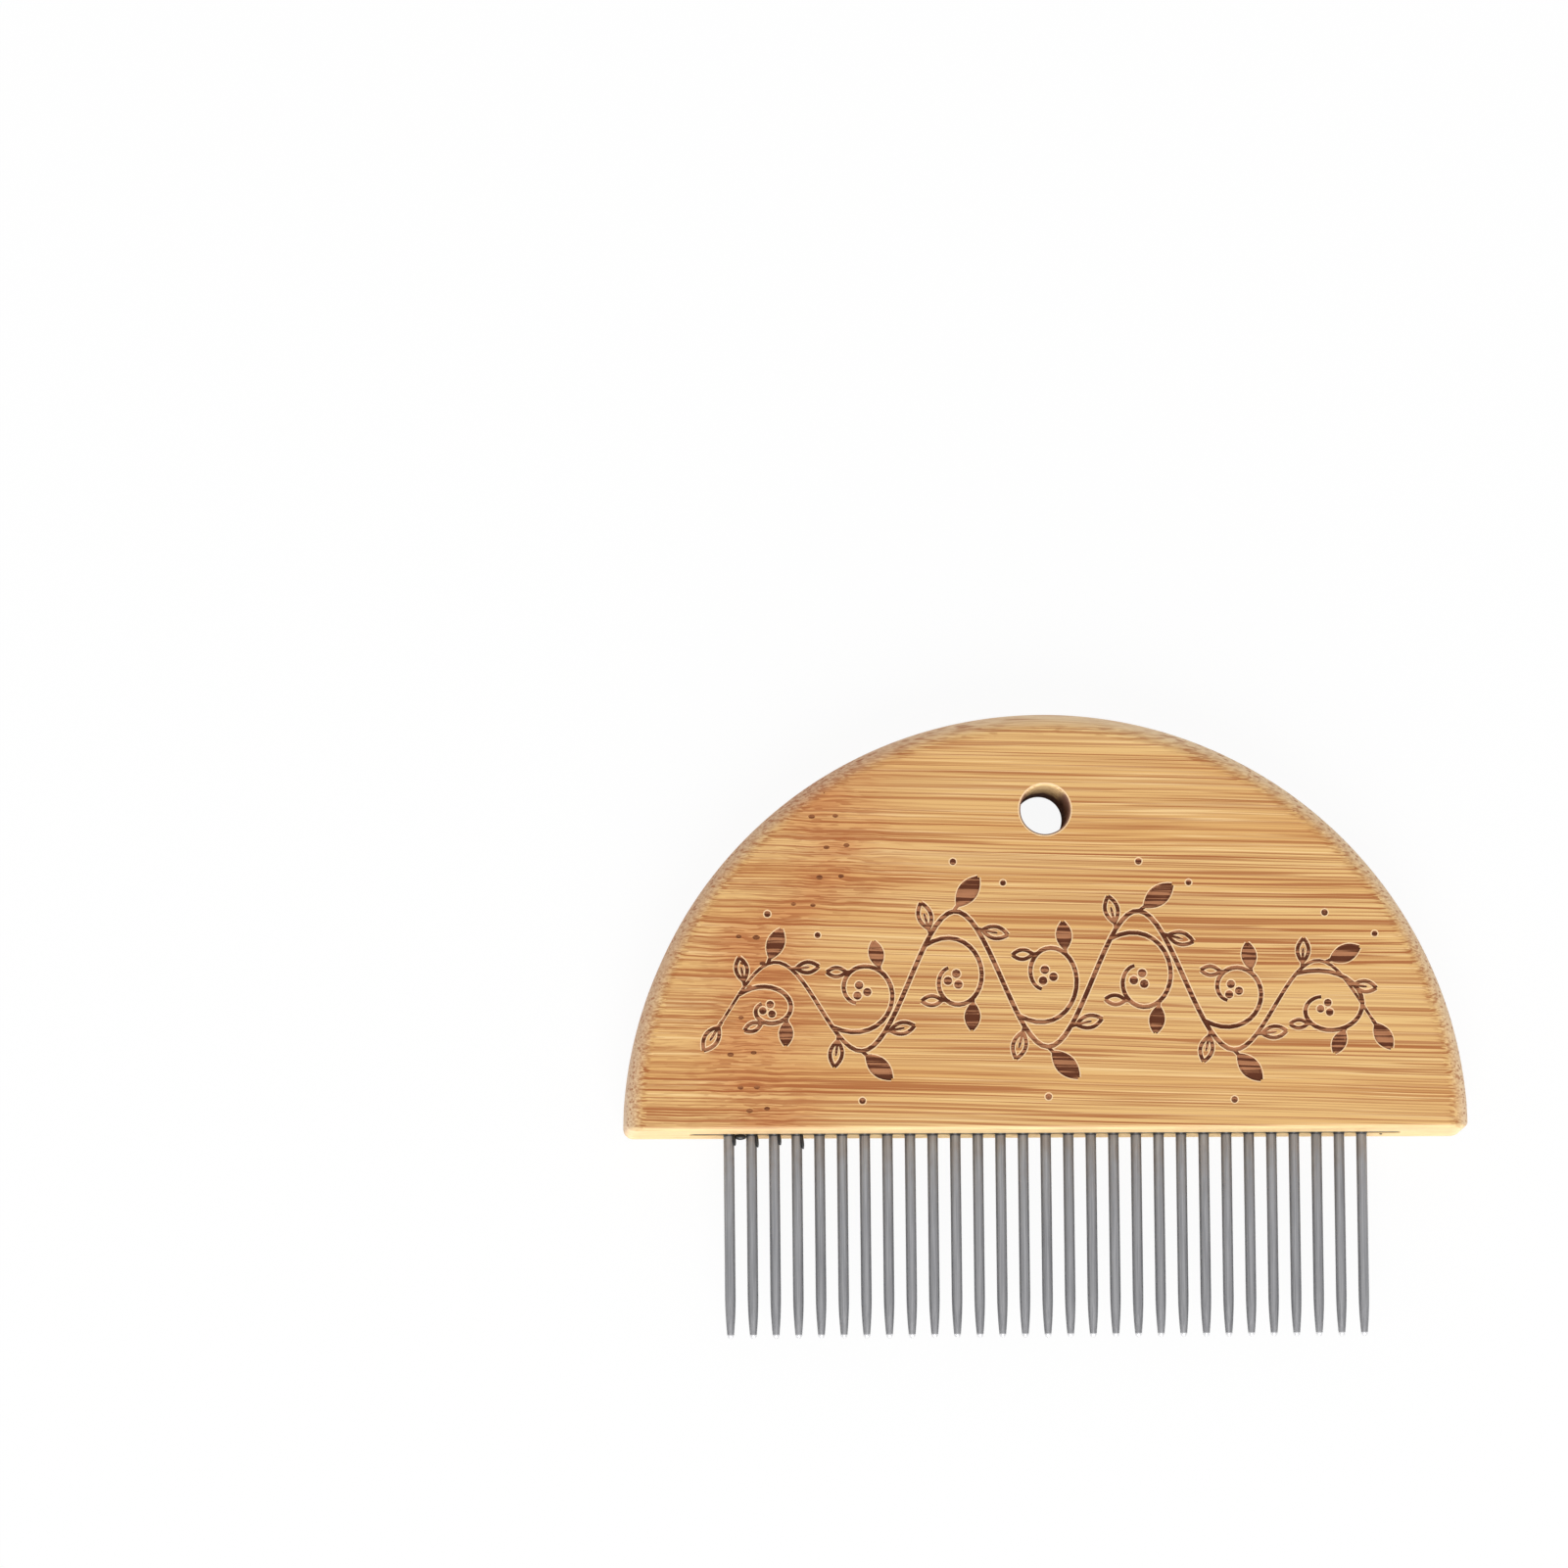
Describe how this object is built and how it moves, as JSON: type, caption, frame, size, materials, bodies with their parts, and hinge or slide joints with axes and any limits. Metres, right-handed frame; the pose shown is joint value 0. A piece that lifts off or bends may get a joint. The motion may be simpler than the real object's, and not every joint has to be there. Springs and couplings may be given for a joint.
{
  "type": "weaving comb",
  "caption": "Half-disc bamboo hand comb with a row of blunt steel pins, for pressing weft down in tapestry weaving.",
  "frame": {"origin": "on the surface that the comb lies on, under the middle of the whole comb, pins included", "axes": "+X along the row of pins, +Y from the pins towards the crown of the handle, +Z out of the decorated front face; the comb lies on its back"},
  "size_m": [0.0946, 0.0698, 0.01],
  "materials": {
    "bamboo": "satin",
    "resin": "gloss",
    "steel": "satin"
  },
  "bodies": {
    "root": {"handle": "bamboo", "resin_bed": "resin", "pin_01": "steel", "pin_02": "steel", "pin_03": "steel", "pin_04": "steel", "pin_05": "steel", "pin_06": "steel", "pin_07": "steel", "pin_08": "steel", "pin_09": "steel", "pin_10": "steel", "pin_11": "steel", "pin_12": "steel", "pin_13": "steel", "pin_14": "steel", "pin_15": "steel", "pin_16": "steel", "pin_17": "steel", "pin_18": "steel", "pin_19": "steel", "pin_20": "steel", "pin_21": "steel", "pin_22": "steel", "pin_23": "steel", "pin_24": "steel", "pin_25": "steel", "pin_26": "steel", "pin_27": "steel", "pin_28": "steel", "pin_29": "steel"}
  },
  "joints": []
}
